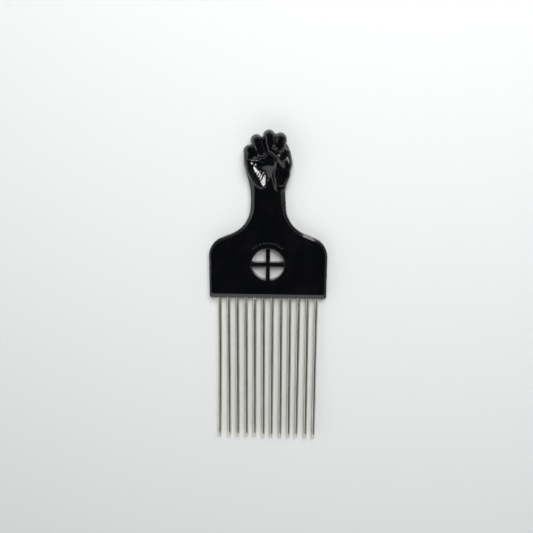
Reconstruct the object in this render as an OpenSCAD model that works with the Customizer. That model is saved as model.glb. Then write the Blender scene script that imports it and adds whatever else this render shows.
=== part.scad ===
// Afro pick: a moulded plastic handle that ends in a raised fist, with steel wire tines set in its head.
// It lies on its back. X runs across the head, Y from the tine tips to the fist, Z up from the back face.

/* [Head] */
// Width of the head
head_w = 76; // [70:1:90]
// Thickness of the head and the neck
head_t = 6.4; // [5.6:0.1:8]
// Height of the straight sides of the head, from its lower edge to the shoulders
side_h = 27.8; // [24:0.1:33]
// Radius of each rounded shoulder
shoulder_r = 12.5; // [8:0.1:16]
// Angle through which each shoulder turns before it runs straight towards the neck
shoulder_turn = 68; // [58:1:78]
// Radius of each hollow between shoulder and neck
hollow_r = 20; // [15:0.1:24]
// Radius of the two lower corners of the head
corner_r = 1.3; // [0.5:0.1:3]

/* [Edges] */
// Width of the bevel of the front face along the sides of the head
side_bevel = 1.5; // [0.8:0.1:2.4]
// Width of the bevel of the front face along the sides of the neck
neck_bevel = 2.3; // [1.2:0.1:3]
// Width of the bevel of the front face along the lower edge of the head
foot_bevel = 2.9; // [1.5:0.1:4]
// How far the bevels of the front face fall away
bevel_drop = 1.5; // [0.6:0.1:2]
// Width and height of the small bevel around the back face
back_bevel = 0.6; // [0.2:0.1:1.2]

/* [Window] */
// Diameter of the round window
window_d = 21.2; // [14:0.1:23]
// Height of the window's centre above the lower edge of the head
window_h = 22.5; // [22.2:0.1:28]
// Width of each bar of the cross that is left in the window
cross_w = 2.5; // [1.6:0.1:4]
// How far the cross lies below the front face and above the back face
cross_inset = 0.5; // [0.2:0.1:1.2]

/* [Neck and fist] */
// Length of the handle, from the lower edge of the head to the top of the fist
handle_l = 107; // [102:1:120]
// Width of the neck
neck_w = 22; // [18:0.1:26]
// Width of the fist
fist_w = 30; // [26:0.1:34]
// Height of the fist, from the buried end of its wrist to the top of the longest finger
fist_h = 42.5; // [40:0.1:46.5]
// Thickness of the fist
fist_t = 12; // [11:0.1:16]
// How far the neck runs up inside the wrist
wrist_lap = 7; // [5:0.1:9]

/* [Pips] */
// Number of raised pips in the arc above the window
pip_count = 9; // [3:2:13]
// Diameter of each pip
pip_d = 1.5; // [0.8:0.1:1.6]
// How far the pips stand above the front face
pip_h = 0.35; // [0.2:0.05:0.6]
// Distance of the arc of pips outside the rim of the window
pip_rim_gap = 3.6; // [2:0.1:6]
// Angle between two neighbouring pips, seen from the window's centre
pip_step = 10; // [8:1:12]

/* [Tines] */
// Number of tines
tine_count = 12; // [8:1:14]
// Diameter of the tine wire
tine_d = 2.5; // [1.6:0.1:2.7]
// Distance from each side of the head to the centre of the outermost tine
tine_margin = 6.4; // [4:0.1:9]
// Length of each tine outside the head
tine_l = 101; // [70:1:120]
// Length of the taper at the tip
tip_l = 3.5; // [2:0.1:6]
// Diameter of the blunt end of the tip
tip_d = 1.1; // [0.6:0.1:1.5]
// Length of the root that is moulded into the head
root_l = 9; // [7:0.1:9.5]
// Length of the part of the root that is pressed flat, so that it can't pull out
flat_l = 3; // [2:0.1:4.5]
// How far the round wire runs on into the flattened part
flat_lap = 0.8; // [0.4:0.1:1.5]
// Width of the flattened part of the root
flat_w = 3.2; // [2.8:0.1:3.6]
// Thickness of the flattened part of the root
flat_t = 1.3; // [0.9:0.1:1.5]

/* [Hidden] */
// Facets of one full turn
$fn = 32;
// Overrun of every cut past the surface that it opens
cut_over = 1;
// Steps along one shoulder arc, one hollow arc and one corner arc
shoulder_steps = 9;
hollow_steps = 12;
corner_steps = 3;

// The part lies centred on Y = 0, so its lower edge is placed from both of its lengths
foot_y = (tine_l - handle_l) / 2;
// Height of the tines' centres above the back face, and the distance between neighbours
tine_z = head_t / 2;
tine_pitch = (head_w - 2 * tine_margin) / (tine_count - 1);
// Length of the round part of a tine's root
round_l = root_l - flat_l + flat_lap;
// Centres of the shoulder and hollow arcs, joined by a straight run that touches both
shoulder_x = head_w / 2 - shoulder_r;
hollow_x = neck_w / 2 + hollow_r;
straight_l = (shoulder_x - hollow_x + (shoulder_r + hollow_r) * cos(shoulder_turn)) / sin(shoulder_turn);
hollow_y = side_h + (shoulder_r + hollow_r) * sin(shoulder_turn) + straight_l * cos(shoulder_turn);
// The neck ends inside the wrist. There it narrows to a share of its width, over a share of the lap
neck_top = handle_l - fist_h + wrist_lap;
neck_end_share = 0.8;
neck_narrowing_share = 0.5;

// Section of the front bevel: share of its width measured inwards, and share of its drop that is left
bevel_shares = [[0, 1], [0.12, 0.55], [0.4, 0.2], [1, 0]];

// The hand is drawn as balls, in shares of its width: X from the axis, Y down from its top, Z from its back,
// and the radius. Each line of a list is one ball, and the balls of one list are wrapped together.
palm_shares = [
    [-0.262, -1.31, 0.105, 0.1],
    [0.262, -1.31, 0.105, 0.1],
    [-0.262, -1.06, 0.137, 0.134],
    [0.25, -1.06, 0.137, 0.134],
    [-0.352, -0.68, 0.147, 0.145],
    [0.33, -0.7, 0.147, 0.145],
    [-0.3, -0.53, 0.142, 0.138],
    [0.31, -0.5, 0.142, 0.138],
];
// Each finger has its knuckle, its tip and its root on the back of the hand, from the little finger on
finger_shares = [
    [[-0.385, -0.43, 0.19, 0.125], [-0.285, -0.465, 0.255, 0.112], [-0.35, -0.66, 0.127, 0.125]],
    [[-0.24, -0.217, 0.185, 0.123], [-0.135, -0.465, 0.268, 0.113], [-0.19, -0.52, 0.127, 0.125]],
    [[0.013, -0.127, 0.185, 0.127], [0.055, -0.29, 0.275, 0.118], [0.005, -0.45, 0.13, 0.13]],
    [[0.247, -0.182, 0.185, 0.12], [0.24, -0.36, 0.27, 0.116], [0.2, -0.5, 0.127, 0.125]],
];
// The thumb runs from its tip over the middle finger to its joint and its root
thumb_shares = [[0.02, -0.412, 0.315, 0.072], [0.19, -0.5, 0.315, 0.08], [0.335, -0.67, 0.265, 0.105]];
// The ball of the thumb fills the palm on the index side
thumb_ball_shares = [[0.32, -0.7, 0.2, 0.17], [0.17, -1.1, 0.14, 0.13]];
// The heel of the palm is one long ball: centre, half lengths, and its lean in degrees
heel_centre_shares = [-0.2, -0.87, 0.18];
heel_half_shares = [0.18, 0.37, 0.165];
heel_lean = 15;

tine_names = [for (i = [1 : tine_count]) str("tine_", i < 10 ? "0" : "", i)];

// Points of an arc whose radius may change from one end to the other
function arc(centre, r_from, r_to, from, to, steps) = [
    for (i = [0 : steps])
        let (t = i / steps, r = r_from + (r_to - r_from) * t, turn = from + (to - from) * t)
        centre + r * [cos(turn), sin(turn)]
];

// Right half of the outline of head and neck, drawn in from the head's sides, its lower edge and the neck's sides
function half_outline(side_in, foot_in, neck_in) = concat(
    arc([head_w / 2 - side_in - corner_r, foot_in + corner_r], corner_r, corner_r, -90, 0, corner_steps),
    arc([shoulder_x, side_h], shoulder_r - side_in, shoulder_r - side_in, 0, shoulder_turn, shoulder_steps),
    arc([hollow_x, hollow_y], hollow_r + side_in, hollow_r + neck_in, 180 + shoulder_turn, 180, hollow_steps),
    [
        [neck_w / 2 - neck_in, neck_top - neck_narrowing_share * wrist_lap],
        [neck_end_share * neck_w / 2 - neck_in, neck_top]
    ]
);

// The whole outline at one height: the right half upwards, then its mirror image downwards
function ring(half, z) = [
    for (p = half) [p.x, p.y, z],
    for (i = [len(half) - 1 : -1 : 0]) [-half[i].x, half[i].y, z]
];

function front_ring(shares) = ring(
    half_outline(side_bevel * shares.x, foot_bevel * shares.x, neck_bevel * shares.x),
    head_t - bevel_drop * shares.y
);

function back_ring(inset, z) = ring(half_outline(inset, inset, inset), z);

function tine_x(i) = (i - (tine_count + 1) / 2) * tine_pitch;

// Head and neck in one shell: rings from the back face to the front face, closed by strips across
module head_and_neck() {
    rings = concat(
        [back_ring(back_bevel, 0), back_ring(0, back_bevel)],
        [for (shares = bevel_shares) front_ring(shares)]
    );
    n = len(rings[0]);
    last = len(rings) - 1;
    half = n / 2;
    sides = [
        for (r = [0 : last - 1], i = [0 : n - 1])
            let (next = (i + 1) % n)
            [(r + 1) * n + i, (r + 1) * n + next, r * n + next, r * n + i]
    ];
    back = [for (i = [0 : half - 2]) [i, i + 1, n - 2 - i, n - 1 - i]];
    front = [for (quad = back) [for (k = [3 : -1 : 0]) quad[k] + last * n]];
    polyhedron(points = [for (ring = rings, p = ring) p], faces = concat(sides, back, front), convexity = 6);
}

// What the window takes away: a round hole with a cross of two bars left standing in it
module window_cut() {
    translate([0, window_h, 0]) {
        difference() {
            translate([0, 0, -cut_over]) cylinder(d = window_d, h = head_t + 2 * cut_over);
            translate([0, 0, head_t / 2]) {
                cube([cross_w, window_d + cut_over, head_t - 2 * cross_inset], center = true);
                cube([window_d + cut_over, cross_w, head_t - 2 * cross_inset], center = true);
            }
        }
    }
}

// The flattened end of a tine's root
module root_flat() {
    translate([0, root_l - flat_l / 2, 0]) cube([flat_w, flat_l, flat_t], center = true);
}

// The socket that the head is moulded with around the root of a tine
module socket() {
    translate([0, -cut_over, 0]) rotate([-90, 0, 0]) cylinder(d = tine_d, h = round_l + cut_over);
    root_flat();
}

module pips() {
    for (i = [0 : pip_count - 1]) {
        turn = (i - (pip_count - 1) / 2) * pip_step;
        translate([0, window_h, 0]) rotate([0, 0, turn]) {
            translate([0, window_d / 2 + pip_rim_gap, head_t / 2]) cylinder(d = pip_d, h = head_t / 2 + pip_h);
        }
    }
}

module ball(shares) {
    translate([shares.x, shares.y, shares.z]) sphere(r = shares[3]);
}

module wrapped(balls) {
    hull() for (shares = balls) ball(shares);
}

// The hand as drawn, one unit wide, with its back on Z = 0 and its top on Y = 0
module hand() {
    wrapped(palm_shares);
    for (finger = finger_shares) wrapped(finger);
    wrapped(thumb_shares);
    wrapped(thumb_ball_shares);
    translate(heel_centre_shares) rotate([0, 0, heel_lean]) scale(heel_half_shares) sphere(r = 1);
}

module fist() {
    translate([0, handle_l, 0]) resize([fist_w, fist_h, fist_t]) hand();
}

module handle() {
    color("#17181b") translate([0, foot_y, 0]) {
        difference() {
            head_and_neck();
            window_cut();
            for (i = [1 : tine_count]) translate([tine_x(i), 0, tine_z]) socket();
        }
        pips();
        fist();
    }
}

// Section of the round part of a tine from its axis outwards, from the blunt tip up into the root
function tine_section() = concat(
    [for (turn = [0 : 15 : 90]) tip_d / 2 * [sin(turn), 1 - cos(turn)]],
    [[tine_d / 2, tip_l], [tine_d / 2, tine_l + round_l], [0, tine_l + round_l]]
);

module tine(i) {
    color("#b9b8b0") translate([tine_x(i), foot_y, tine_z]) {
        translate([0, -tine_l, 0]) rotate([-90, 0, 0]) rotate_extrude($fn = 48) polygon(tine_section());
        root_flat();
    }
}

handle();
for (i = [1 : tine_count]) {
    tine(i);
}
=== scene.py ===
"""Looks of an afro pick: a glossy moulded handle that ends in a raised fist, and twelve nickel-plated tines.

Lengths are millimetres in the part's own frame and become metres where a mesh is made. X runs across the
head, Y from the tine tips to the fist, Z up from the flat back that the pick lies on.
"""

import logging
import math
from dataclasses import dataclass, field
from enum import Enum
from typing import Union

import bpy
import numpy as np
from mathutils import Euler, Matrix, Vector


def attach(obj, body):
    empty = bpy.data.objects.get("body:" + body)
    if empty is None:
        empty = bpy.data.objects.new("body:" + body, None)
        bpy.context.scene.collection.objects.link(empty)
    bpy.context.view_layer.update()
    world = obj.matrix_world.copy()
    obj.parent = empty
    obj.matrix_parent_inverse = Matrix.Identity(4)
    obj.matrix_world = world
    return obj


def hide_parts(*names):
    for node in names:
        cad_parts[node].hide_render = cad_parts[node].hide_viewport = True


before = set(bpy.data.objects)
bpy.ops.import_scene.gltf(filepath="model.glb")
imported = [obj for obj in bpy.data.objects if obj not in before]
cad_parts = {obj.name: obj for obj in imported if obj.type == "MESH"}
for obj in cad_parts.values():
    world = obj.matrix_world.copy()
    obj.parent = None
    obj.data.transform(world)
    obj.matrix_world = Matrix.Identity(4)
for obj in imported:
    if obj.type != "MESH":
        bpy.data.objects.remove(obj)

MM = 0.001
log = logging.getLogger("afro_pick")

Array = np.ndarray
Socket = bpy.types.NodeSocket
Feed = Union[Socket, float, tuple]
Material = bpy.types.Material
Object = bpy.types.Object


class Slot(Enum):
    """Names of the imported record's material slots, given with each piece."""

    MOULDING = "moulding"
    TINE_WIRE = "tine_wire"


@dataclass
class Graph:
    """Adds nodes to one shader or geometry tree and links them, so that a finish reads as a list of steps.

    A node's input is fed by another node's output, by a number, or by a tuple.
    """

    tree: bpy.types.NodeTree

    def add(self, kind: str, sockets: dict | None = None, **settings) -> bpy.types.Node:
        """Adds one node, sets its properties, and sets or links its input sockets.

        Args:
            kind: the node's type name.
            sockets: input names or indices, each with a value or with the output socket that feeds it.
            **settings: the node's properties.

        Returns:
            The new node.
        """
        node = self.tree.nodes.new(kind)
        for name, value in settings.items():
            setattr(node, name, value)
        for key, value in (sockets or {}).items():
            if isinstance(value, Socket):
                self.tree.links.new(value, node.inputs[key])
            else:
                node.inputs[key].default_value = value
        return node

    def math(self, operation: str, *values: Feed) -> Socket:
        """Adds one step of arithmetic on numbers or sockets and returns its result."""
        return self.add("ShaderNodeMath", dict(enumerate(values)), operation=operation).outputs[0]

    def blend(self, factor: Feed, low: Feed, high: Feed) -> Socket:
        """Mixes two numbers by a factor from 0 to 1 and returns the result."""
        return self.add("ShaderNodeMix", {0: factor, 2: low, 3: high}, data_type="FLOAT").outputs[0]

    def tint(self, factor: Feed, low: Feed, high: Feed) -> Socket:
        """Mixes two colours by a factor from 0 to 1 and returns the result."""
        return self.add("ShaderNodeMix", {0: factor, 6: low, 7: high}, data_type="RGBA").outputs[2]

    def ramp(self, value: Feed, start: Feed, end: Feed, low: float = 0.0, high: float = 1.0) -> Socket:
        """Maps a value smoothly from one range onto another and returns the result."""
        sockets = {0: value, 1: start, 2: end, 3: low, 4: high}
        return self.add("ShaderNodeMapRange", sockets, interpolation_type="SMOOTHSTEP").outputs[0]

    def noise(self, vector: Socket, scale: float, detail: float, roughness: float = 0.5) -> Socket:
        """Adds a noise texture that reads the given vector and returns its value."""
        sockets = {"Vector": vector, "Scale": scale, "Detail": detail, "Roughness": roughness}
        return self.add("ShaderNodeTexNoise", sockets).outputs[0]

    def stretched(self, vector: Socket, turn: float, scale: tuple) -> Socket:
        """Turns a vector about Z, then stretches it along each axis.

        Args:
            vector: the vector.
            turn: the angle in degrees.
            scale: what X, Y and Z are multiplied by.

        Returns:
            The vector that comes out.
        """
        sockets = {"Vector": vector, "Angle": math.radians(turn)}
        turned = self.add("ShaderNodeVectorRotate", sockets, rotation_type="Z_AXIS").outputs[0]
        return self.add("ShaderNodeVectorMath", {0: turned, 1: scale}, operation="MULTIPLY").outputs[0]

    def millimetres(self) -> Socket:
        """Returns the object's own coordinates in millimetres."""
        place = self.add("ShaderNodeTexCoord").outputs["Object"]
        return self.add("ShaderNodeVectorMath", {0: place, "Scale": 1 / MM}, operation="SCALE").outputs[0]

    def bump(self, strength: float, depth: float, invert: bool = False, **sockets: Feed) -> Socket:
        """Bends the shading by a height whose depth is in millimetres, and returns the normal."""
        sockets |= {"Strength": strength, "Distance": depth * MM}
        return self.add("ShaderNodeBump", sockets, invert=invert).outputs[0]

    def vector(self, x: Feed = 0.0, y: Feed = 0.0, z: Feed = 0.0) -> Socket:
        """Joins three numbers or sockets into one vector and returns it."""
        return self.add("ShaderNodeCombineXYZ", {0: x, 1: y, 2: z}).outputs[0]

    def position(self) -> bpy.types.NodeOutputs:
        """Returns X, Y and Z of each point."""
        place = self.add("GeometryNodeInputPosition").outputs[0]
        return self.add("ShaderNodeSeparateXYZ", {0: place}).outputs

    def surface(self, sockets: dict) -> None:
        """Ends a finish with one shader, whose inputs are given by name."""
        shader = self.add("ShaderNodeBsdfPrincipled", sockets)
        self.add("ShaderNodeOutputMaterial", {"Surface": shader.outputs[0]})


def new_material(name: str) -> tuple[Material, Graph]:
    """Makes an empty node material.

    Args:
        name: the material's name.

    Returns:
        The material, and the graph that its nodes go into.
    """
    material = bpy.data.materials.new(name)
    material.use_nodes = True
    material.node_tree.nodes.clear()
    return material, Graph(material.node_tree)


@dataclass(frozen=True)
class GlossBlack:
    """Glossy black injection-moulded styrene, with flow waviness, faint handling marks and a little dust."""

    black: tuple = (0.0015, 0.0019, 0.0027, 1)
    worn_black: tuple = (0.0031, 0.003, 0.0038, 1)
    dust: tuple = (0.1, 0.098, 0.093, 1)
    dust_share: float = 0.5
    refraction: float = 1.6
    smooth: float = 0.07
    handled: float = 0.17
    scratched: float = 0.08
    streak_turn: float = 24.0
    streak_share: float = 0.35
    scratch_turns: tuple = (12.0, 71.0, 128.0)
    scratch_depth: float = 0.0012
    flow_depth: float = 0.22
    peel_share: float = 0.035

    def build(self) -> Material:
        """Builds the finish.

        Returns:
            The node material.
        """
        material, g = new_material("gloss_black_moulding")
        place = g.millimetres()
        smudge = g.noise(place, 0.085, 3.0, 0.6)
        streak = g.noise(g.stretched(place, self.streak_turn, (0.9, 0.07, 0.9)), 1.0, 4.0, 0.65)
        handling = g.ramp(g.blend(self.streak_share, smudge, streak), 0.4, 0.66)
        scratches = 0.0
        for turn in self.scratch_turns:
            hairline = g.noise(g.stretched(place, turn, (0.06, 7.0, 7.0)), 1.0, 1.0)
            scratches = g.math("MAXIMUM", scratches, g.ramp(hairline, 0.655, 0.7))
        cells = g.add("ShaderNodeTexVoronoi", {"Vector": place, "Scale": 0.32}, feature="F1").outputs
        lot = g.add("ShaderNodeSeparateColor", {0: cells["Color"]}).outputs[0]
        speck = g.ramp(cells["Distance"], 0.02, 0.055, self.dust_share, 0.0)
        dusty = g.math("MULTIPLY", speck, g.math("GREATER_THAN", lot, 0.8))
        colour = g.tint(dusty, g.tint(handling, self.black, self.worn_black), self.dust)
        worn = g.blend(handling, self.smooth, self.handled)
        rough = g.math("MULTIPLY_ADD", scratches, self.scratched, worn)
        flow = g.noise(g.stretched(place, 0, (0.1, 0.06, 0.1)), 1.0, 2.0, 0.45)
        height = g.math("MULTIPLY_ADD", g.noise(place, 0.9, 2.0), self.peel_share, flow)
        waves = g.bump(1.0, self.flow_depth, Height=height)
        marks = g.bump(0.5, self.scratch_depth, True, Height=scratches, Normal=waves)
        g.surface({"Base Color": colour, "Roughness": rough, "IOR": self.refraction, "Normal": marks})
        return material


@dataclass(frozen=True)
class SatinNickel:
    """Nickel plate on drawn steel wire: satin, with drawing lines along the wire and a slight warm cloud."""

    plate: tuple = (0.66, 0.64, 0.575, 1)
    warm: tuple = (0.55, 0.515, 0.43, 1)
    polished: float = 0.14
    dull: float = 0.26
    line_depth: float = 0.004
    pit_share: float = 0.6

    def build(self) -> Material:
        """Builds the finish.

        Returns:
            The node material.
        """
        material, g = new_material("satin_nickel_wire")
        place = g.millimetres()
        cloud = g.ramp(g.noise(g.stretched(place, 0, (0.5, 0.05, 0.5)), 1.0, 3.0), 0.38, 0.66)
        lines = g.noise(g.stretched(place, 0, (14.0, 0.22, 14.0)), 1.0, 3.0, 0.6)
        pits = g.ramp(g.noise(place, 4.5, 2.0), 0.7, 0.78)
        height = g.math("MULTIPLY_ADD", pits, -self.pit_share, lines)
        g.surface({
            "Base Color": g.tint(cloud, self.plate, self.warm), "Metallic": 1.0,
            "Roughness": g.blend(lines, self.polished, self.dull),
            "Normal": g.bump(0.7, self.line_depth, Height=height)})
        return material


@dataclass(frozen=True)
class PaleTable:
    """Pale matt table top with a faint fibre, which keeps the pick's shadow."""

    light: tuple = (0.85, 0.86, 0.86, 1)
    shade: tuple = (0.82, 0.83, 0.83, 1)

    def build(self) -> Material:
        """Builds the finish.

        Returns:
            The node material.
        """
        material, g = new_material("pale_table")
        colour = g.tint(g.noise(g.millimetres(), 0.4, 4.0), self.shade, self.light)
        g.surface({"Base Color": colour, "Roughness": 0.8, "Specular IOR Level": 0.2})
        return material


def put_in_scene(name: str, data: bpy.types.ID) -> Object:
    """Makes an object and links it to the scene.

    Args:
        name: the object's name.
        data: its mesh, camera or lamp.

    Returns:
        The new object.
    """
    made = bpy.data.objects.new(name, data)
    bpy.context.scene.collection.objects.link(made)
    return made


def make_object(name: str, points: Array, faces: list, finish: Material) -> Object:
    """Makes a smooth-shaded mesh object from points in millimetres.

    Args:
        name: the object's name.
        points: an array of points, one row each.
        faces: lists of point numbers, anticlockwise seen from outside.
        finish: the material of all its faces.

    Returns:
        The new object, linked to the scene.
    """
    mesh = bpy.data.meshes.new(name)
    mesh.from_pydata((np.asarray(points) * MM).tolist(), [], [list(f) for f in faces])
    mesh.polygons.foreach_set("use_smooth", [True] * len(mesh.polygons))
    mesh.materials.append(finish)
    mesh.update()
    return put_in_scene(name, mesh)


def grid_faces(grid: Array, closed: bool = False) -> list:
    """Makes the faces between the rows of a grid of point numbers.

    Args:
        grid: point numbers, row by row, so that the faces point outwards.
        closed: whether each row closes on itself.

    Returns:
        The faces, each a list of four point numbers.
    """
    if closed:
        grid = np.column_stack([grid, grid[:, 0]])
    cells = np.stack([grid[:-1, :-1], grid[:-1, 1:], grid[1:, 1:], grid[1:, :-1]], axis=-1)
    return cells.reshape(-1, 4).tolist()


def mark_sharp(mesh: bpy.types.Mesh, edges: Array) -> None:
    """Marks the edges for which an array says True as sharp, so that a flat face by a bevel looks flat."""
    mesh.attributes.new("sharp_edge", "BOOLEAN", "EDGE").data.foreach_set("value", edges)
    mesh.update()


def hand_over(piece: Object, slot: Slot, *nodes: str) -> None:
    """Lets a finished piece ride on the pick and stand for CAD nodes, whose parts it hides.

    Args:
        piece: the finished object.
        slot: the record's slot that the piece belongs to; not used.
        nodes: the CAD nodes that it stands for.
    """
    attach(piece, "root")
    if nodes:
        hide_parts(*nodes)
    log.info("%s: %d points, %d faces", piece.name, len(piece.data.vertices), len(piece.data.polygons))


def smooth_step(value: Array, start: float, end: float) -> Array:
    """Eases from 0 to 1 while a value goes from start to end."""
    held = np.clip((value - start) / (end - start), 0, 1)
    return held * held * (3 - 2 * held)


def arc(centre: tuple, radii: tuple, turns: tuple, steps: int) -> Array:
    """Points of an arc whose radius may change from one end to the other.

    Args:
        centre: X and Y of its centre.
        radii: the radius at its two ends.
        turns: the angle at its two ends, in degrees.
        steps: the number of steps along it.

    Returns:
        An array of steps + 1 rows of X and Y.
    """
    turn = np.radians(np.linspace(*turns, steps + 1))
    radius = np.linspace(*radii, steps + 1)
    return np.column_stack([centre[0] + radius * np.cos(turn), centre[1] + radius * np.sin(turn)])


@dataclass
class Head:
    """The wide head and the neck: a flat plate with bevelled edges and a round window."""

    width: float = 76.0
    thickness: float = 6.4
    foot: float = -3.0
    side_height: float = 27.8
    shoulder_radius: float = 12.5
    shoulder_turn: float = 68.0
    hollow_radius: float = 20.0
    corner_radius: float = 1.3
    neck_width: float = 22.0
    seam: float = 58.5
    side_bevel: float = 1.5
    neck_bevel: float = 2.3
    foot_bevel: float = 2.9
    bevel_drop: float = 1.5
    back_bevel: float = 0.6
    chamfer_share: float = 0.86
    chamfer_fall: float = 0.86
    chamfer_steps: int = 8
    window_radius: float = 10.6
    window_y: float = 19.5
    rim_bevel: float = 0.3
    rim_lean: float = 15.0
    foot_steps: int = 9
    corner_steps: int = 8
    edge_steps: int = 6
    shoulder_steps: int = 26
    hollow_steps: int = 34
    bevel_steps: int = 18
    side_steps: int = 26
    back_steps: int = 8
    rim_steps: int = 6
    seam_steps: int = 140
    window_steps: int = 96

    def half_outline(self, side_in: float, foot_in: float, neck_in: float) -> Array:
        """Right half of the outline, from the middle of the foot up to the seam, drawn in by three widths.

        Args:
            side_in: how far the head's sides are drawn in.
            foot_in: how far the foot is drawn in.
            neck_in: how far the neck's sides are drawn in.

        Returns:
            An array of rows of X and Y.
        """
        half = self.width / 2
        turn = math.radians(self.shoulder_turn)
        shoulder_x = half - self.shoulder_radius
        hollow_x = self.neck_width / 2 + self.hollow_radius
        reach = self.shoulder_radius + self.hollow_radius
        straight = (shoulder_x - hollow_x + reach * math.cos(turn)) / math.sin(turn)
        side_top = self.foot + self.side_height
        hollow_y = side_top + reach * math.sin(turn) + straight * math.cos(turn)
        foot_y = self.foot + foot_in
        corner = (half - side_in - self.corner_radius, foot_y + self.corner_radius)
        foot = [(x, foot_y) for x in np.linspace(0, corner[0], self.foot_steps + 1)[:-1]]
        lower = arc(corner, (self.corner_radius,) * 2, (-90, 0), self.corner_steps)
        side = [(half - side_in, y) for y in np.linspace(lower[-1, 1], side_top, self.edge_steps + 1)[1:-1]]
        rounding = (self.shoulder_radius - side_in,) * 2
        shoulder = arc((shoulder_x, side_top), rounding, (0, self.shoulder_turn), self.shoulder_steps)
        radii = (self.hollow_radius + side_in, self.hollow_radius + neck_in)
        hollow = arc((hollow_x, hollow_y), radii, (180 + self.shoulder_turn, 180), self.hollow_steps)
        neck = [[self.neck_width / 2 - neck_in, self.seam]]
        return np.vstack([foot, lower, side, shoulder, hollow, neck])

    def bevel_profile(self) -> Array:
        """Shares of the front bevel's width and drop that are left, from the crease out to the side.

        Returns:
            An array of rows: share of the width drawn in, share of the drop that is left.
        """
        flat = np.linspace(0, self.chamfer_share, self.chamfer_steps + 1)[:-1]
        turn = np.linspace(math.pi / 4, math.pi / 2, self.bevel_steps - self.chamfer_steps + 1)
        across = np.sin(turn) - math.sin(math.pi / 4)
        down = math.cos(math.pi / 4) - np.cos(turn)
        rest, drop_rest = 1 - self.chamfer_share, 1 - self.chamfer_share * self.chamfer_fall
        out = np.concatenate([flat, self.chamfer_share + rest * across / across[-1]])
        fall = np.concatenate([flat * self.chamfer_fall, 1 - drop_rest + drop_rest * down / down[-1]])
        return np.column_stack([1 - out, 1 - fall])

    def levels(self) -> list:
        """The plate's rings from the front crease to the edge of the back face.

        Returns:
            Rows of: share of the front bevel's widths, even inset, height Z.
        """
        found = [(a, 0.0, self.thickness - self.bevel_drop * (1 - b)) for a, b in self.bevel_profile()]
        top = self.thickness - self.bevel_drop
        found += [(0.0, 0.0, z) for z in np.linspace(top, self.back_bevel, self.side_steps + 1)[1:]]
        for turn in np.linspace(0, math.pi / 2, self.back_steps + 1)[1:]:
            inset = self.back_bevel * (1 - math.cos(turn))
            found.append((0.0, inset, self.back_bevel * (1 - math.sin(turn))))
        return found

    def ring(self, share: float, inset: float, height: float) -> Array:
        """One ring of points from the right end of the seam, round the foot, to its left end.

        Args:
            share: the share of the front bevel's widths that it is drawn in.
            inset: how far it is drawn in evenly.
            height: its Z.

        Returns:
            An array of points.
        """
        bevels = (self.side_bevel, self.foot_bevel, self.neck_bevel)
        half = self.half_outline(*(bevel * share + inset for bevel in bevels))
        flat = np.vstack([half[::-1], half[1:] * [-1, 1]])
        return np.column_stack([flat, np.full(len(flat), height)])

    def rings(self) -> Array:
        """All rings as one array: ring, station, coordinate."""
        return np.stack([self.ring(*level) for level in self.levels()])

    def window_rings(self) -> Array:
        """Rings of the window's wall, from its front edge to its back edge.

        Returns:
            An array: ring, point, coordinate.
        """
        turn = np.linspace(0, 2 * math.pi, self.window_steps, endpoint=False) - math.pi / 2
        start = math.radians(self.rim_lean)
        found = []
        for lean in np.linspace(start, math.pi / 2, self.rim_steps + 1):
            out = self.rim_bevel * (1 - math.sin(lean)) / (1 - math.sin(start))
            found.append((out, self.thickness - self.rim_bevel * (1 - math.cos(lean) / math.cos(start))))
        found += [(0.0, self.thickness / 2), (0.0, self.rim_bevel)]
        found += [(self.rim_bevel / 3, self.rim_bevel / 3), (self.rim_bevel, 0.0)]
        flat = np.column_stack([np.cos(turn), np.sin(turn)])
        return np.stack([
            np.column_stack([flat * (self.window_radius + out) + [0, self.window_y], np.full(len(turn), z)])
            for out, z in found])


def smooth_min(a: Array, b: Array, width: float) -> Array:
    """The lower of two distance fields, with a fillet of the given width where they meet."""
    near = np.maximum(width - np.abs(a - b), 0)
    return np.minimum(a, b) - near * near / (4 * width)


def smooth_max(a: Array, b: Array, width: float) -> Array:
    """The higher of two distance fields, with a rounded edge of the given width where they meet."""
    return -smooth_min(-a, -b, width)


def taper(points: Array, start: tuple, end: tuple) -> Array:
    """Distance to a ball that is swept along a line while its radius changes.

    Args:
        points: an array of points.
        start: X, Y, Z and radius where the line starts.
        end: X, Y, Z and radius where it ends.

    Returns:
        The distance of each point, negative inside.
    """
    a, b = np.array(start[:3]), np.array(end[:3])
    along = b - a
    share = np.clip((points - a) @ along / (along @ along), 0, 1)
    gap = np.linalg.norm(points - a - share[:, None] * along, axis=1)
    return gap - (start[3] + (end[3] - start[3]) * share)


def cut_off(shape: Array, points: Array, plane: tuple, width: float) -> Array:
    """Cuts a distance field off at a plane, given by its normal and its height, with a rounded edge."""
    return smooth_max(shape, points @ np.array(plane[:3]) - plane[3], width)


def chain(points: Array, balls: list, fillet: float) -> Array:
    """Distance to balls that are joined one to the next by tapers.

    Args:
        points: an array of points.
        balls: X, Y, Z and radius of each ball.
        fillet: the width of the fillet at each joint.

    Returns:
        The distance of each point, negative inside.
    """
    found = taper(points, balls[0], balls[1])
    for start, end in zip(balls[1:-1], balls[2:]):
        found = smooth_min(found, taper(points, start, end), fillet)
    return found


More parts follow.
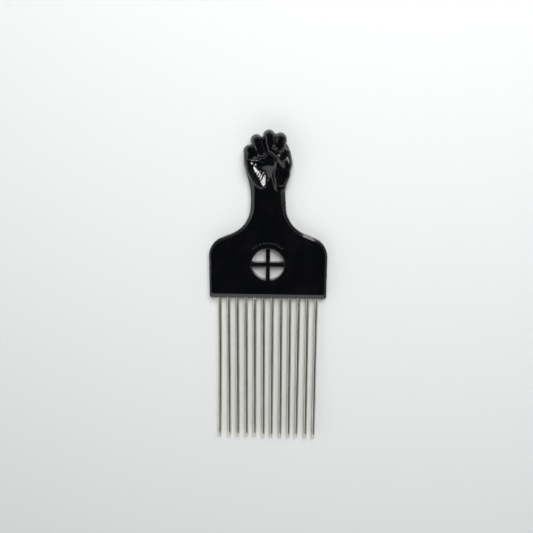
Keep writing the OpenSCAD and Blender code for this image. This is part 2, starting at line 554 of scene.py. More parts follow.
@dataclass
class Fist:
    """The raised right fist and its wrist, sculpted as one distance field and wrapped with one grid.

    Places in the hand are X from the pick's axis, D down from the top of the fist, Z from its back, and a
    radius. A palm station is D, the left and right sides, the top and the width of the bevel. The hollow is
    X, D, its half sizes and its depth. The crest, the palm's top edge, is its least D, its curve, the X of
    its middle and its rounding. A cut, a facet and the heel's top are planes: a normal and a height. A crease
    is its depth, its half width and its line. Rays that find the surface start from a core inside the sides.
    """

    top: float = 103.98
    deepest: float = 12.0
    palm_stations: tuple = (
        (47.0, -11.0, 11.0, 6.4, 2.3),
        (42.0, -11.0, 10.8, 6.4, 2.4),
        (36.5, -11.4, 10.7, 6.4, 2.8),
        (30.5, -12.7, 11.8, 6.4, 3.3),
        (25.5, -14.2, 13.6, 7.45, 3.9),
        (20.3, -15.1, 14.9, 9.1, 4.3),
        (17.0, -14.8, 14.3, 7.9, 4.3),
        (13.5, -14.0, 13.3, 7.6, 4.0),
        (9.5, -12.6, 12.3, 7.5, 4.0),
        (6.5, -10.8, 11.0, 7.5, 4.0),
        (4.5, -8.6, 9.4, 7.5, 4.0),
    )
    bevel_slope: float = 0.62
    hollow: tuple = (0.9, 30.0, 3.2, 4.5, 1.0)
    crest: tuple = (4.4, 0.036, 0.8, 2.5)
    fingers: tuple = (
        ((-11.2, 19.0, 5.0, 3.6), (-11.5, 13.0, 6.1, 3.85), (-10.6, 12.9, 7.7, 3.7), (-8.4, 14.6, 8.2, 3.35)),
        ((-7.0, 8.6, 4.0, 3.9), (-7.3, 6.6, 6.0, 3.75), (-6.6, 7.4, 8.0, 3.65), (-4.2, 13.8, 8.5, 3.4)),
        ((0.3, 6.2, 4.1, 4.0), (0.4, 4.05, 6.0, 3.9), (0.7, 4.7, 8.1, 3.75), (1.5, 9.0, 8.9, 3.5)),
        ((7.1, 7.9, 4.0, 3.8), (7.4, 5.5, 6.0, 3.7), (7.6, 6.2, 8.0, 3.6), (7.2, 10.9, 8.6, 3.4)),
    )
    thumb: tuple = (
        (1.0, 11.9, 9.6, 2.05), (5.2, 14.4, 9.5, 2.3), (8.6, 18.3, 8.3, 2.8), (10.0, 22.6, 5.7, 3.7))
    thumb_ball: tuple = (
        (9.6, 17.5, 6.6, 4.9), (9.1, 20.5, 6.2, 5.5), (8.1, 27.0, 5.6, 5.3), (7.3, 34.6, 4.2, 3.9))
    thumb_ball_cut: tuple = (0.03, -0.2, 0.979, 3.7)
    knuckle: tuple = (10.3, 14.3, 7.1, 3.5)
    knuckle_cut: tuple = (0.272, -0.08, 0.959, 3.2)
    heel_centre: tuple = (-8.2, 23.6, 6.8)
    heel_half: tuple = (5.5, 12.6, 5.4)
    heel_lean: float = 23.0
    heel_facet: tuple = (0.272, -0.08, 0.959, 2.6)
    heel_top: tuple = (-0.03, -0.233, 0.972, 3.02)
    heel_wave: tuple = (1.85, -0.7, 0.022)
    heel_fillet: float = 1.2
    ball_fillet: float = 0.8
    knuckle_fillet: float = 1.0
    finger_fillet: float = 0.5
    thumb_fillet: float = 0.45
    ball_joint: float = 1.2
    finger_joint: float = 0.5
    thumb_joint: float = 0.9
    crisp_edge: float = 0.3
    bevel_edge: float = 0.25
    heel_edge: float = 0.35
    soft_edge: float = 0.8
    crown_cuts: tuple = (0.6, 0.65, 0.5, 0.3)
    webs: tuple = (0.35, 0.35, 0.35, 1.5)
    creases: tuple = (
        (0.3, 0.55, (-12.5, 18.3), (-9.0, 18.8), (-5.5, 18.7), (-3.0, 19.4)),
        (0.1, 0.6, (6.6, 34.4), (9.4, 34.8), (12.6, 33.4)),
    )
    carved_z: tuple = (3.5, 5.5)
    ripple_height: float = 0.035
    ripple_rows: tuple = (62.0, 70.0)
    fine_steps: int = 400
    rows: int = 190
    blend_rows: tuple = (58.5, 61.5)
    turn_rows: tuple = (58.5, 68.0)
    core_y: tuple = (58.0, 70.0, 84.0, 92.0, 101.0)
    core_in: tuple = (5.5, 4.6, 4.4, 3.6, 3.3)
    core_z: float = 4.6
    smoothing: int = 7
    cap_start: float = 91.5
    cap_rise: float = 7.0
    reach: float = 20.0
    trace_steps: int = 70
    trace_share: float = 0.75

    def place(self, spot: tuple) -> tuple:
        """Turns a place in the hand into X, Y, Z and radius in the part's frame."""
        return (spot[0], self.top - spot[1], *spot[2:])

    def palm(self, p: Array, fine: dict) -> Array:
        """Distance to the palm and the wrist, a bevelled plate whose outline follows the hand.

        Args:
            p: an array of points.
            fine: the palm's stations on a fine scale of Y.

        Returns:
            The distance of each point, negative inside.
        """
        sides = ("left", "right", "top", "bevel")
        left, right, height, bevel = (np.interp(p[:, 1], fine["y"], fine[side]) for side in sides)
        down = self.top - p[:, 1]
        x, d, half_x, half_d, depth = self.hollow
        height = height - depth * np.exp(-(((p[:, 0] - x) / half_x) ** 2) - ((down - d) / half_d) ** 2)
        out = np.abs(p[:, 0] - (left + right) / 2) - (right - left) / 2
        over = p[:, 2] - height
        drop = self.bevel_slope * bevel
        slope = (out * drop + over * bevel + bevel * drop) / np.hypot(drop, bevel)
        found = smooth_max(smooth_max(out, over, self.crisp_edge), slope, self.bevel_edge)
        least, curve, middle, rounding = self.crest
        return smooth_max(found, least + curve * (p[:, 0] - middle) ** 2 - down, rounding)

    def fine_stations(self) -> dict:
        """The palm's stations on a fine scale of Y, eased from one to the next.

        Returns:
            Arrays by name: y, left, right, top and bevel.
        """
        rows = np.array(sorted(self.palm_stations, key=lambda s: -s[0]))
        y = self.top - rows[:, 0]
        fine = np.linspace(y[0], y[-1], self.fine_steps)
        slopes = np.gradient(rows[:, 1:], y, axis=0)
        found = {"y": fine}
        spot = np.clip(np.searchsorted(y, fine, side="right") - 1, 0, len(y) - 2)
        step = y[spot + 1] - y[spot]
        t = (fine - y[spot]) / step
        for k, name in enumerate(("left", "right", "top", "bevel")):
            a, b = rows[spot, k + 1], rows[spot + 1, k + 1]
            found[name] = (
                (2 * t**3 - 3 * t**2 + 1) * a + (t**3 - 2 * t**2 + t) * step * slopes[spot, k]
                + (3 * t**2 - 2 * t**3) * b + (t**3 - t**2) * step * slopes[spot + 1, k])
        return found

    def heel(self, p: Array) -> Array:
        """Distance to the heel of the palm, a long leaning ball with a flat top and a flat facet.

        Args:
            p: an array of points.

        Returns:
            The distance of each point, negative inside.
        """
        lean = math.radians(self.heel_lean)
        q = p - np.array(self.place(self.heel_centre)[:3])
        turned = np.column_stack([
            q[:, 0] * math.cos(lean) + q[:, 1] * math.sin(lean),
            -q[:, 0] * math.sin(lean) + q[:, 1] * math.cos(lean),
            q[:, 2]])
        scaled = turned / np.array(self.heel_half)
        size = np.linalg.norm(scaled, axis=1)
        steep = np.linalg.norm(scaled / np.array(self.heel_half), axis=1)
        ball = size * (size - 1) / np.maximum(steep, 1e-6)
        for plane in (self.heel_facet, self.heel_top):
            ball = cut_off(ball, q, plane, self.heel_edge)
        across, along, height = self.heel_wave
        return ball + height * np.sin(across * q[:, 0] + along * q[:, 1])

    def groove(self, p: Array, spots: list, width: float) -> Array:
        """How near each point is to a carved line, from 0 away from it to 1 in its middle.

        Args:
            p: an array of points.
            spots: places along the line: X and D.
            width: half the width of the carving.

        Returns:
            The share of the carving's depth at each point.
        """
        flat = np.column_stack([p[:, 0], self.top - p[:, 1]])
        best = np.full(len(p), np.inf)
        for a, b in zip(np.array(spots[:-1]), np.array(spots[1:])):
            along = b - a
            share = np.clip((flat - a) @ along / (along @ along), 0, 1)
            best = np.minimum(best, np.linalg.norm(flat - a - share[:, None] * along, axis=1))
        return np.exp(-((best / width) ** 2)) * smooth_step(p[:, 2], *self.carved_z)

    def distance(self, p: Array, fine: dict) -> Array:
        """Distance to the whole fist, negative inside.

        Args:
            p: an array of points in the part's frame.
            fine: the palm's stations on a fine scale.

        Returns:
            The distance of each point.
        """
        body = smooth_min(self.palm(p, fine), self.heel(p), self.heel_fillet)
        ball = chain(p, [self.place(s) for s in self.thumb_ball], self.ball_joint)
        middle = np.array(self.place(self.thumb_ball[1])[:3])
        ball = cut_off(ball, p - middle, self.thumb_ball_cut, self.soft_edge)
        body = smooth_min(body, ball, self.ball_fillet)
        spot = self.place(self.knuckle)
        bump = p - np.array(spot[:3])
        knuckle = cut_off(np.linalg.norm(bump, axis=1) - spot[3], bump, self.knuckle_cut, self.crisp_edge)
        body = smooth_min(body, knuckle, self.knuckle_fillet)
        hand = np.full(len(p), np.inf)
        for finger, web, cut in zip(self.fingers, self.webs, self.crown_cuts):
            crown = max(s[2] + s[3] for s in finger) - cut
            found = chain(p, [self.place(s) for s in finger], self.finger_joint)
            hand = smooth_min(hand, smooth_max(found, p[:, 2] - crown, self.soft_edge), web)
        body = smooth_min(body, hand, self.finger_fillet)
        thumb = chain(p, [self.place(s) for s in self.thumb], self.thumb_joint)
        body = smooth_min(body, thumb, self.thumb_fillet)
        for depth, width, *line in self.creases:
            body = body + depth * self.groove(p, line, width)
        x, y, z = p.T
        ripple = np.sin(x * 1.7 + 0.6) * np.sin(y * 1.3 + z) * np.sin(z * 1.5 + 0.3 * x)
        body = body + self.ripple_height * ripple * smooth_step(y, *self.ripple_rows)
        return smooth_max(smooth_max(body, -z, self.soft_edge), z - self.deepest, self.crisp_edge)

    def trace(self, origins: Array, rays: Array, fine: dict) -> Array:
        """Finds where rays that come in from outside first meet the fist.

        Args:
            origins: points inside the fist.
            rays: unit directions from them outwards.
            fine: the palm's stations on a fine scale.

        Returns:
            The points met.
        """
        reach = np.full(len(origins), self.reach)
        for _ in range(self.trace_steps):
            gap = self.distance(origins + rays * reach[:, None], fine)
            reach = np.maximum(reach - self.trace_share * gap, 0)
        return origins + rays * reach[:, None]

    def wrap(self, head: Head, seam: Array) -> tuple:
        """Wraps the fist with rows of points that start at the neck's seam.

        Args:
            head: the head that the fist grows out of.
            seam: the seam's ring: front from left to right, right side down, back from right to left, and
                left side up.

        Returns:
            The rows after the seam, and the points of the cap that closes the top, as two arrays.
        """
        fine = self.fine_stations()
        m = head.seam_steps
        n = (len(seam) - 2 * m) // 2
        across = np.linspace(-1, 1, m + 1)
        tilt = math.pi * np.arange(1, n) / n
        x_share = np.concatenate([across, np.full(n - 1, 1.0), across[::-1], np.full(n - 1, -1.0)])
        up = np.concatenate([np.ones(m + 1), np.cos(tilt), -np.ones(m + 1), -np.cos(tilt)])
        out = np.concatenate([np.zeros(m + 1), np.sin(tilt), np.zeros(m + 1), -np.sin(tilt)])
        seam_x = seam[:, 0].copy()
        seam_x[m + 1 : m + n] = seam[m, 0]
        seam_x[2 * m + n + 1 :] = seam[0, 0]
        flat = np.zeros(len(seam))
        seam_ray = self.unit(np.column_stack([seam[:, 0] - seam_x, flat, seam[:, 2] - self.core_z]))
        last_ray = self.unit(np.column_stack([out, flat, up]))
        rise = np.cos(x_share * math.pi / 2)
        origins, rays, eased = [], [], []
        for share in np.linspace(0, 1, self.rows + 1)[1:]:
            y = head.seam + (self.cap_start - head.seam + self.cap_rise * rise) * share
            left, right = (np.interp(y, fine["y"], fine[k]) for k in ("left", "right"))
            turned = smooth_step(y, *self.turn_rows)
            x = (left + right) / 2 + x_share * ((right - left) / 2 - np.interp(y, self.core_y, self.core_in))
            x = seam_x + (x - seam_x) * turned
            origins.append(np.column_stack([x, y, np.full(len(x), self.core_z)]))
            rays.append(self.unit(seam_ray + (last_ray - seam_ray) * turned[:, None]))
            eased.append(smooth_step(y, *self.blend_rows))
        origins, rays = np.concatenate(origins), np.concatenate(rays)
        eased = np.concatenate(eased)[:, None]
        met = self.trace(origins, rays, fine)
        straight = np.tile(seam, (self.rows, 1))
        straight[:, 1] = origins[:, 1]
        rows = (straight * (1 - eased) + met * eased).reshape(self.rows, len(seam), 3)
        last = origins.reshape(self.rows, len(seam), 3)[-1, : m + 1]
        turn = np.arccos(-across)[1:-1]
        ray = np.stack([
            -np.cos(turn)[:, None] * np.sin(tilt),
            np.sin(turn)[:, None] * np.sin(tilt),
            np.ones(len(turn))[:, None] * np.cos(tilt)], axis=-1)
        start = np.repeat(last[1:-1][:, None], n - 1, axis=1)
        cap = self.trace(start.reshape(-1, 3), self.unit(ray.reshape(-1, 3)), fine).reshape(m - 1, n - 1, 3)
        for _ in range(self.smoothing):
            rows[1:-1] = self.relaxed(rows, np.roll(rows, 1, 1), np.roll(rows, -1, 1))
            cap[1:-1, 1:-1] = self.relaxed(cap, np.roll(cap, 1, 1), np.roll(cap, -1, 1))[:, 1:-1]
        return rows, cap

    @staticmethod
    def unit(rays: Array) -> Array:
        """Scales each row of an array to length 1."""
        return rays / np.linalg.norm(rays, axis=1)[:, None]

    @staticmethod
    def relaxed(grid: Array, before: Array, after: Array) -> Array:
        """Moves a grid's inner rows half way to the mean of the rows beside them and of two shifted grids."""
        mean = (grid[:-2] + grid[2:] + before[1:-1] + after[1:-1]) / 4
        return (grid[1:-1] + mean) / 2


@dataclass
class Handle:
    """The handle in one closed mesh: the head's plate, the neck, and the fist on the same points."""

    head: Head = field(default_factory=Head)
    fist: Fist = field(default_factory=Fist)
    points: list = field(default_factory=list)
    faces: list = field(default_factory=list)

    def store(self, rows: Array) -> Array:
        """Adds points to the mesh.

        Args:
            rows: an array of points in any layout.

        Returns:
            Their numbers in the same layout.
        """
        flat = rows.reshape(-1, 3)
        start = sum(len(p) for p in self.points)
        self.points.append(flat)
        return np.arange(start, start + len(flat)).reshape(rows.shape[:-1])

    def build_head(self) -> Array:
        """Builds the plate with its window.

        Returns:
            The numbers of the points in the seam's ring.
        """
        head = self.head
        rings = self.store(head.rings())
        self.faces += grid_faces(rings)
        window = self.store(head.window_rings())
        self.faces += grid_faces(window, closed=True)
        steps = np.linspace(0, 1, head.seam_steps + 1)[1:-1]
        seams = []
        for ring in (rings[0], rings[-1]):
            all_points = np.concatenate(self.points)
            left, right = all_points[ring[-1]], all_points[ring[0]]
            seams.append(self.store(left + (right - left) * steps[:, None]))
        front_seam, back_seam = seams
        middle, low = rings.shape[1] // 2, window.shape[1] // 2
        centre = len(front_seam) // 2
        right = list(rings[0][: middle + 1][::-1]) + list(front_seam[centre:][::-1])
        right += list(window[0][low::-1])
        left = list(front_seam[: centre + 1][::-1]) + list(rings[0][middle:][::-1])
        left += [window[0][0]] + list(window[0][low:][::-1])
        self.faces += [right, left]
        right = list(rings[-1][: middle + 1]) + list(window[-1][: low + 1]) + list(back_seam[centre:])
        left = list(back_seam[: centre + 1]) + list(window[-1][low:])
        left += [window[-1][0]] + list(rings[-1][middle:])
        self.faces += [right, left]
        down_right, down_left = rings[1:-1, 0], rings[1:-1, -1]
        return np.concatenate([
            [rings[0, -1]], front_seam, [rings[0, 0]], down_right,
            [rings[-1, 0]], back_seam[::-1], [rings[-1, -1]], down_left[::-1]])

    def build_fist(self, seam: Array) -> None:
        """Wraps the fist onto the seam and closes its top.

        Args:
            seam: the numbers of the seam's ring.
        """
        m = self.head.seam_steps
        rows, cap = self.fist.wrap(self.head, np.concatenate(self.points)[seam])
        grid = np.vstack([seam, self.store(rows)])
        self.faces += grid_faces(grid, closed=True)
        last = grid[-1]
        inner = self.store(cap)
        n = inner.shape[1] + 1
        patch = np.empty((m + 1, n + 1), int)
        patch[1:-1, 1:-1] = inner
        patch[:, 0] = last[: m + 1]
        patch[-1, 1:-1] = last[m + 1 : m + n]
        patch[:, -1] = last[m + n : 2 * m + n + 1][::-1]
        patch[0, 1:-1] = last[2 * m + n + 1 :][::-1]
        self.faces += grid_faces(patch[::-1])

    def sharpen(self, made: Object) -> None:
        """Marks the crease between the plate's faces and its bevels as sharp.

        Args:
            made: the handle's object.
        """
        mesh = made.data
        crease = np.zeros(len(mesh.vertices), bool)
        co = np.empty(len(mesh.vertices) * 3)
        mesh.vertices.foreach_get("co", co)
        co = co.reshape(-1, 3) / MM
        stations = self.head.rings().shape[1]
        crease[:stations] = True
        plate = len(self.head.levels()) * stations
        crease[plate - stations : plate] = True
        window = self.head.window_steps
        crease[plate : plate + window] = True
        wall = len(self.head.window_rings()) * window
        crease[plate + wall - window : plate + wall] = True
        ends = np.empty(len(mesh.edges) * 2, int)
        mesh.edges.foreach_get("vertices", ends)
        ends = ends.reshape(-1, 2)
        level = np.abs(co[ends[:, 0], 2] - co[ends[:, 1], 2]) < 1e-4
        mark_sharp(mesh, crease[ends].all(axis=1) & level)

    def build(self, finish: Material) -> None:
        """Builds the handle and hands it over.

        Args:
            finish: the moulding's finish.
        """
        self.build_fist(self.build_head())
        made = make_object("moulded_handle", np.concatenate(self.points), self.faces, finish)
        self.sharpen(made)
        hand_over(made, Slot.MOULDING, "handle")


@dataclass
class WindowCross:
    """The two moulded bars that cross the round window, with filleted corners and eased edges."""

    head: Head = field(default_factory=Head)
    set_in: float = 0.5
    overlap: float = 0.35
    half_width: float = 1.3
    fillet: float = 0.45
    fillet_steps: int = 8
    edge: float = 0.35
    edge_steps: int = 5

    def outline(self, inset: float) -> Array:
        """Outline of the cross drawn in by a width, anticlockwise from its right-hand bar.

        Args:
            inset: how far every side is drawn in.

        Returns:
            An array of rows of X and Y about the window's centre.
        """
        half, radius = self.half_width - inset, self.fillet + inset
        corner, reach = half + radius, self.head.window_radius + self.overlap
        inner = arc((corner, corner), (radius,) * 2, (270, 180), self.fillet_steps)
        arm = np.vstack([[[reach, -half], [reach, half]], inner])
        found = []
        for quarter in range(4):
            turn = math.radians(90 * quarter)
            spin = np.array([[math.cos(turn), math.sin(turn)], [-math.sin(turn), math.cos(turn)]])
            found.append(arm @ spin)
        return np.vstack(found)

    def build(self, finish: Material) -> None:
        """Builds the cross and hands it over.

        Args:
            finish: the moulding's finish.
        """
        thickness, middle = self.head.thickness, self.head.window_y
        levels = []
        for turn in np.linspace(math.pi / 2, 0, self.edge_steps + 1):
            drop = self.set_in + self.edge * (1 - math.sin(turn))
            levels.append((self.edge * (1 - math.cos(turn)), thickness - drop))
        levels += [(inset, thickness - z) for inset, z in reversed(levels)]
        points = np.concatenate([
            [(x, y + middle, height) for x, y in self.outline(inset)] for inset, height in levels])
        rings = np.arange(len(points)).reshape(len(levels), -1)
        around = np.vstack([rings.T, rings[:, 0]])
        faces = [rings[0].tolist(), rings[-1, ::-1].tolist()] + grid_faces(around)
        made = make_object("window_cross", points, faces, finish)
        ends = np.array([edge.vertices for edge in made.data.edges])
        flat = [np.isin(ends, ring).all(axis=1) for ring in (rings[0], rings[-1])]
        mark_sharp(made.data, flat[0] | flat[1])
        hand_over(made, Slot.MOULDING)


@dataclass
class Tree:
    """A Geometry Nodes tree with named inputs, and the mesh that it makes."""

    name: str
    inputs: dict

    def __post_init__(self) -> None:
        """Makes the empty tree with its inputs."""
        self.group = bpy.data.node_groups.new(self.name, "GeometryNodeTree")
        sockets = self.group.interface
        sockets.new_socket("Mesh", in_out="OUTPUT", socket_type="NodeSocketGeometry")
        for name, value in self.inputs.items():
            kind = "NodeSocketInt" if isinstance(value, int) else "NodeSocketFloat"
            sockets.new_socket(name, in_out="INPUT", socket_type=kind).default_value = value
        sockets.new_socket("Finish", in_out="INPUT", socket_type="NodeSocketMaterial")
        self.graph = Graph(self.group)
        self.given = self.graph.add("NodeGroupInput").outputs

    def size(self, name: str) -> Socket:
        """Returns the socket of a named input."""
        return self.given[name]

    def close(self, geometry: Socket) -> None:
        """Ends the tree: everything is made real, shaded smooth and given the finish.

        Args:
            geometry: the socket that carries the finished shape.
        """
        real = self.graph.add("GeometryNodeRealizeInstances", {0: geometry})
        smooth = self.graph.add("GeometryNodeSetShadeSmooth", {0: real.outputs[0]})
        sockets = {0: smooth.outputs[0], "Material": self.size("Finish")}
        dressed = self.graph.add("GeometryNodeSetMaterial", sockets)
        self.graph.add("NodeGroupOutput", {0: dressed.outputs[0]})

    def bake(self, name: str, finish: Material, changes: dict) -> Object:
        """Evaluates the tree once and keeps the result as a plain mesh object.

        Args:
            name: the new object's name.
            finish: its finish.
            changes: the inputs that differ from the tree's own, by name.

        Returns:
            The new object.
        """
        holder = put_in_scene(name + "_holder", bpy.data.meshes.new(name + "_holder"))
        modifier = holder.modifiers.new(self.name, "NODES")
        modifier.node_group = self.group
        wanted = self.inputs | changes | {"Finish": finish}
        for item in self.group.interface.items_tree:
            if item.item_type == "SOCKET" and item.in_out == "INPUT":
                modifier[item.identifier] = wanted[item.name]
        bpy.context.view_layer.update()
        depsgraph = bpy.context.evaluated_depsgraph_get()
        mesh = bpy.data.meshes.new_from_object(holder.evaluated_get(depsgraph), depsgraph=depsgraph)
        holder.modifiers.clear()
        bpy.data.objects.remove(holder)
        mesh.name = name
        return put_in_scene(name, mesh)


def in_metres(sizes: dict) -> dict:
    """Turns named lengths from millimetres into metres."""
    return {name: size * MM for name, size in sizes.items()}


@dataclass
class Pips:
    """Raised pips on an arc above the window, moulded on the front face."""

    head: Head = field(default_factory=Head)
    count: int = 9
    radius: float = 0.75
    stand: float = 0.35
    arc_radius: float = 14.2
    step: float = 10.0

    def tree(self) -> Tree:
        """Builds the tree: a low dome set at each point of an arc.

        Returns:
            The finished tree.
        """
        tree = Tree("pip_arc", {"Count": self.count, "Step angle": -math.radians(self.step)} | in_metres({
            "Pip radius": self.radius, "Pip height": self.stand, "Arc radius": self.arc_radius,
            "Centre Y": self.head.window_y, "Face Z": self.head.thickness}))
        g, size = tree.graph, tree.size
        index = g.add("GeometryNodeInputIndex").outputs[0]
        middle = g.math("DIVIDE", g.math("SUBTRACT", size("Count"), 1.0), 2.0)
        turn = g.math("MULTIPLY", g.math("SUBTRACT", index, middle), size("Step angle"))
        x = g.math("MULTIPLY", g.math("SINE", turn), size("Arc radius"))
        y = g.math("MULTIPLY_ADD", g.math("COSINE", turn), size("Arc radius"), size("Centre Y"))
        spots = {"Count": size("Count"), "Position": g.vector(x, y, size("Face Z"))}
        points = g.add("GeometryNodePoints", spots)
        dome = g.add("GeometryNodeMeshUVSphere", {"Segments": 24, "Rings": 12, "Radius": 1.0})
        scale = g.vector(size("Pip radius"), size("Pip radius"), size("Pip height"))
        placed = g.add("GeometryNodeInstanceOnPoints", {
            "Points": points.outputs[0], "Instance": dome.outputs[0], "Scale": scale})
        tree.close(placed.outputs[0])
        return tree

    def build(self, finish: Material) -> None:
        """Builds the pips in the moulding's finish and hands them over."""
        hand_over(self.tree().bake("moulded_pips", finish, {}), Slot.MOULDING)


@dataclass
class Tines:
    """Twelve steel wires with tapered blunt tips, each with its end pressed flat inside the head."""

    head: Head = field(default_factory=Head)
    count: int = 12
    radius: float = 1.25
    margin: float = 6.4
    length: float = 101.0
    root: float = 9.0
    flat_length: float = 3.0
    flat_width: float = 3.2
    flat_thickness: float = 1.3
    press_reach: tuple = (1.2, 0.75)
    tip_length: float = 3.6
    tip_radius: float = 0.52
    tip_swell: float = 0.8
    bend: float = 1.6
    splay: tuple = (-1.5, -0.5, -0.25, -0.1, -0.2, 0.1, -0.15, 0.15, 0.2, -0.25, 0.3, 0.1)
    lift: tuple = (0.1, -0.2, 0.25, 0.0, -0.25, 0.15, 0.3, -0.1, 0.1, -0.3, 0.05, 0.2)

    def tree(self) -> Tree:
        """Builds the tree: a circle swept along a wire that tapers, leans a little and ends pressed flat.

        Returns:
            The finished tree.
        """
        tree = Tree("wire_tine", in_metres({
            "Tine X": 0.0, "Tip Y": self.head.foot - self.length, "Height": self.head.thickness / 2,
            "Length": self.length, "Root": self.root, "Radius": self.radius,
            "Tip radius": self.tip_radius, "Tip length": self.tip_length, "Flat length": self.flat_length,
            "Flat width": self.flat_width, "Flat thickness": self.flat_thickness, "Splay": 0.0, "Lift": 0.0}))
        g, size = tree.graph, tree.size
        whole = g.math("ADD", size("Length"), size("Root"))
        line = g.add("GeometryNodeCurvePrimitiveLine", {"Start": (0, 0, 0), "End": (0, 1, 0)}, mode="POINTS")
        fine = g.add("GeometryNodeResampleCurve", {"Curve": line.outputs[0], "Count": 110})
        share = g.add("GeometryNodeSplineParameter").outputs["Factor"]
        place = g.vector(y=g.math("MULTIPLY", g.ramp(share, 0.0, 1.0), whole))
        wire = g.add("GeometryNodeSetPosition", {"Geometry": fine.outputs[0], "Position": place})
        depth = g.position()[1]
        slim = g.math("MINIMUM", g.math("DIVIDE", depth, size("Tip length")), 1.0)
        thick = g.blend(g.math("POWER", slim, self.tip_swell), size("Tip radius"), size("Radius"))
        nose = g.math("SUBTRACT", 1.0, g.math("MINIMUM", g.math("DIVIDE", depth, size("Tip radius")), 1.0))
        round_off = g.math("SUBTRACT", 1.0, g.math("POWER", nose, 2.0))
        blunt = g.math("SQRT", g.math("MAXIMUM", round_off, 0.004))
        circle = g.add("GeometryNodeCurvePrimitiveCircle", {"Resolution": 40, "Radius": 1.0})
        swept = g.add("GeometryNodeCurveToMesh", {
            "Curve": wire.outputs[0], "Profile Curve": circle.outputs[0],
            "Scale": g.math("MULTIPLY", thick, blunt), "Fill Caps": True})
        spot = g.position()
        reach = [g.math("MULTIPLY", size("Flat length"), share) for share in self.press_reach]
        press = g.ramp(spot[1], *(g.math("SUBTRACT", whole, length) for length in reach))
        double = g.math("MULTIPLY", size("Radius"), 2.0)
        wide = g.blend(press, 1.0, g.math("DIVIDE", size("Flat width"), double))
        flat = g.blend(press, 1.0, g.math("DIVIDE", size("Flat thickness"), double))
        free = g.math("MAXIMUM", g.math("SUBTRACT", 1.0, g.math("DIVIDE", spot[1], size("Length"))), 0.0)
        lean = g.math("POWER", free, self.bend)
        x = g.math("MULTIPLY_ADD", spot[0], wide, g.math("MULTIPLY_ADD", lean, size("Splay"), size("Tine X")))
        z = g.math("MULTIPLY_ADD", spot[2], flat, g.math("MULTIPLY_ADD", lean, size("Lift"), size("Height")))
        moved = g.vector(x, g.math("ADD", spot[1], size("Tip Y")), z)
        bent = g.add("GeometryNodeSetPosition", {"Geometry": swept.outputs[0], "Position": moved})
        tree.close(bent.outputs[0])
        return tree

    def build(self, finish: Material) -> None:
        """Builds every tine from the one tree, from the little finger's side on, and hands them over.

        Args:
            finish: the wire's finish.
        """
        tree = self.tree()
        pitch = (self.head.width - 2 * self.margin) / (self.count - 1)
        for i, (splay, lift) in enumerate(zip(self.splay, self.lift)):
            x = (i - (self.count - 1) / 2) * pitch
            changes = in_metres({"Tine X": x, "Splay": splay, "Lift": lift})
            number = f"{i + 1:02d}"
            hand_over(tree.bake("wire_tine_" + number, finish, changes), Slot.TINE_WIRE, "tine_" + number)


@dataclass(frozen=True)
class Lamp:
    """One round area lamp that points at the pick.

    The direction is where it stands, seen from the pick. A sparkle shows only in reflections, and any other
    lamp only lights and casts shadow.
    """

    name: str
    direction: tuple
    distance: float
    size: float
    radiance: float
    sparkle: bool

    def build(self) -> None:
        """Adds the lamp to the scene."""
        data = bpy.data.lights.new(self.name, "AREA")
        data.shape, data.size = "DISK", self.size * MM
        data.energy = self.radiance * (math.pi * self.size * MM / 2) ** 2
        spot = Vector(self.direction).normalized()
        made = put_in_scene(self.name, data)
        made.location = spot * self.distance * MM
        made.rotation_euler = (-spot).to_track_quat("-Z", "Y").to_euler()
        made.visible_glossy = self.sparkle
        made.visible_diffuse = not self.sparkle
        made.visible_camera = False


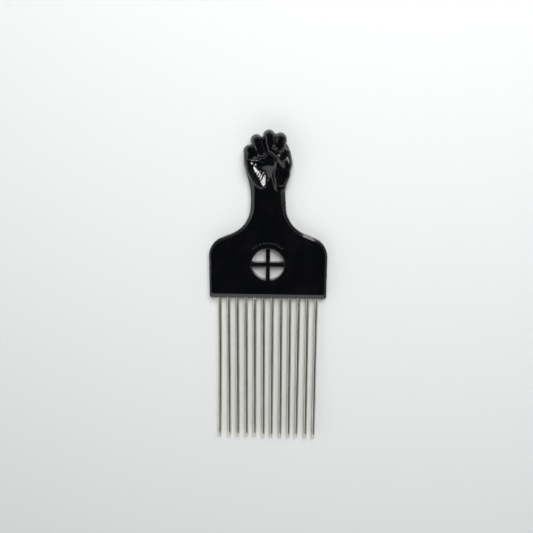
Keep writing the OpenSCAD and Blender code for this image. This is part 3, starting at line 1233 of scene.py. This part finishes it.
@dataclass
class Studio:
    """A pale table, a soft sky, a soft key lamp, two small lamps for the sparkles, and the camera.

    The edges of the sky's two dark rounds are in degrees. The sky dims to the right and towards the fist
    between two cosines each, and the right side's dimming grows with height.
    """

    camera_place: tuple = (12.62, 97.16, 356.85)
    camera_turn: tuple = (-12.64, 2.26, 0.27)
    focal_pixels: float = 560.0
    frame_pixels: float = 533.0
    sensor: float = 36.0
    clip: tuple = (0.01, 20.0)
    sky_tint: tuple = (0.97, 0.99, 1.0, 1)
    overhead: tuple = (0.0, 0.12, 0.993)
    overhead_edge: tuple = (38.0, 49.0)
    flag: tuple = (0.6, -0.29, 0.746)
    flag_edge: tuple = (14.0, 20.0)
    shaded: float = 0.02
    horizon: float = 0.36
    horizon_height: tuple = (0.1, 0.34)
    dimmest: float = 0.25
    brightest: float = 1.1
    dim_right: tuple = (0.1, 0.75)
    dim_height: tuple = (0.38, 0.6, 0.5, 0.85)
    dim_back: tuple = (0.05, 0.7)
    back_share: float = 0.75
    lamps: tuple = (
        Lamp("soft_key", (0.14, 0.7, 1.0), distance=900, size=700, radiance=6.2, sparkle=False),
        Lamp("shoulder_sparkle", (0.459, 0.861, 0.225), distance=800, size=95, radiance=9, sparkle=True),
        Lamp("palm_sparkle", (0.4656, -0.1065, 0.8786), distance=800, size=140, radiance=20, sparkle=True),
    )
    table_half: float = 900.0
    table_z: float = -0.05

    def build_camera(self) -> None:
        """Makes the camera at the place that the photograph's perspective gives."""
        data = bpy.data.cameras.new("camera")
        data.sensor_width = self.sensor
        data.lens = self.focal_pixels / self.frame_pixels * self.sensor
        data.clip_start, data.clip_end = self.clip
        camera = put_in_scene("camera", data)
        camera.location = Vector(self.camera_place) * MM
        camera.rotation_euler = Euler([math.radians(t) for t in self.camera_turn])
        bpy.context.scene.camera = camera

    def build_sky(self) -> None:
        """Makes the world: bright at the sides, and dimmer to the right and towards the fist.

        It is dark in two rounds: overhead, where the flat front looks, and on a flag right of the tines.
        """
        world = bpy.data.worlds.new("studio_sky")
        bpy.context.scene.world = world
        world.use_nodes = True
        world.node_tree.nodes.clear()
        g = Graph(world.node_tree)
        ray = g.add("ShaderNodeTexCoord").outputs["Generated"]

        def towards(direction: tuple) -> Socket:
            """Cosine of the angle between the ray and a direction."""
            found = g.add("ShaderNodeVectorMath", {0: ray, 1: direction}, operation="DOT_PRODUCT")
            return found.outputs["Value"]

        def outside(direction: tuple, edge: tuple) -> Socket:
            """0 in a round of the sky about a direction and 1 outside it, with a soft edge, in degrees."""
            return g.ramp(g.math("ARCCOSINE", towards(direction)), *(math.radians(a) for a in edge))

        height = towards((0.0, 0.0, 1.0))
        right = g.ramp(towards((1.0, 0.0, 0.0)), *self.dim_right)
        back = g.ramp(towards((0.0, 1.0, 0.0)), *self.dim_back)
        dim = g.math("MULTIPLY", right, g.ramp(height, *self.dim_height))
        belt = g.math("SUBTRACT", self.brightest, g.math("MULTIPLY_ADD", back, self.back_share, dim))
        above = g.ramp(height, *self.horizon_height)
        level = g.blend(above, self.horizon, g.math("MAXIMUM", belt, self.dimmest))
        past_overhead = outside(self.overhead, self.overhead_edge)
        lit = g.math("MULTIPLY", past_overhead, outside(self.flag, self.flag_edge))
        strength = g.blend(lit, self.shaded, level)
        sky = g.add("ShaderNodeBackground", {"Color": self.sky_tint, "Strength": strength})
        g.add("ShaderNodeOutputWorld", {"Surface": sky.outputs[0]})

    def build(self) -> None:
        """Builds the table, the sky, the lamps and the camera."""
        half = self.table_half
        corners = [(x * half, y * half, self.table_z) for x, y in ((-1, -1), (1, -1), (1, 1), (-1, 1))]
        make_object("table", corners, [[0, 1, 2, 3]], PaleTable().build())
        self.build_sky()
        for lamp in self.lamps:
            lamp.build()
        self.build_camera()
        bpy.context.scene.view_settings.view_transform = "Standard"


def main() -> None:
    """Builds the studio and every piece of the pick."""
    logging.basicConfig(level=logging.INFO, format="%(message)s")
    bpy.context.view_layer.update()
    Studio().build()
    moulding = GlossBlack().build()
    Handle().build(moulding)
    WindowCross().build(moulding)
    Pips().build(moulding)
    Tines().build(SatinNickel().build())


if __name__ == "__main__":
    main()
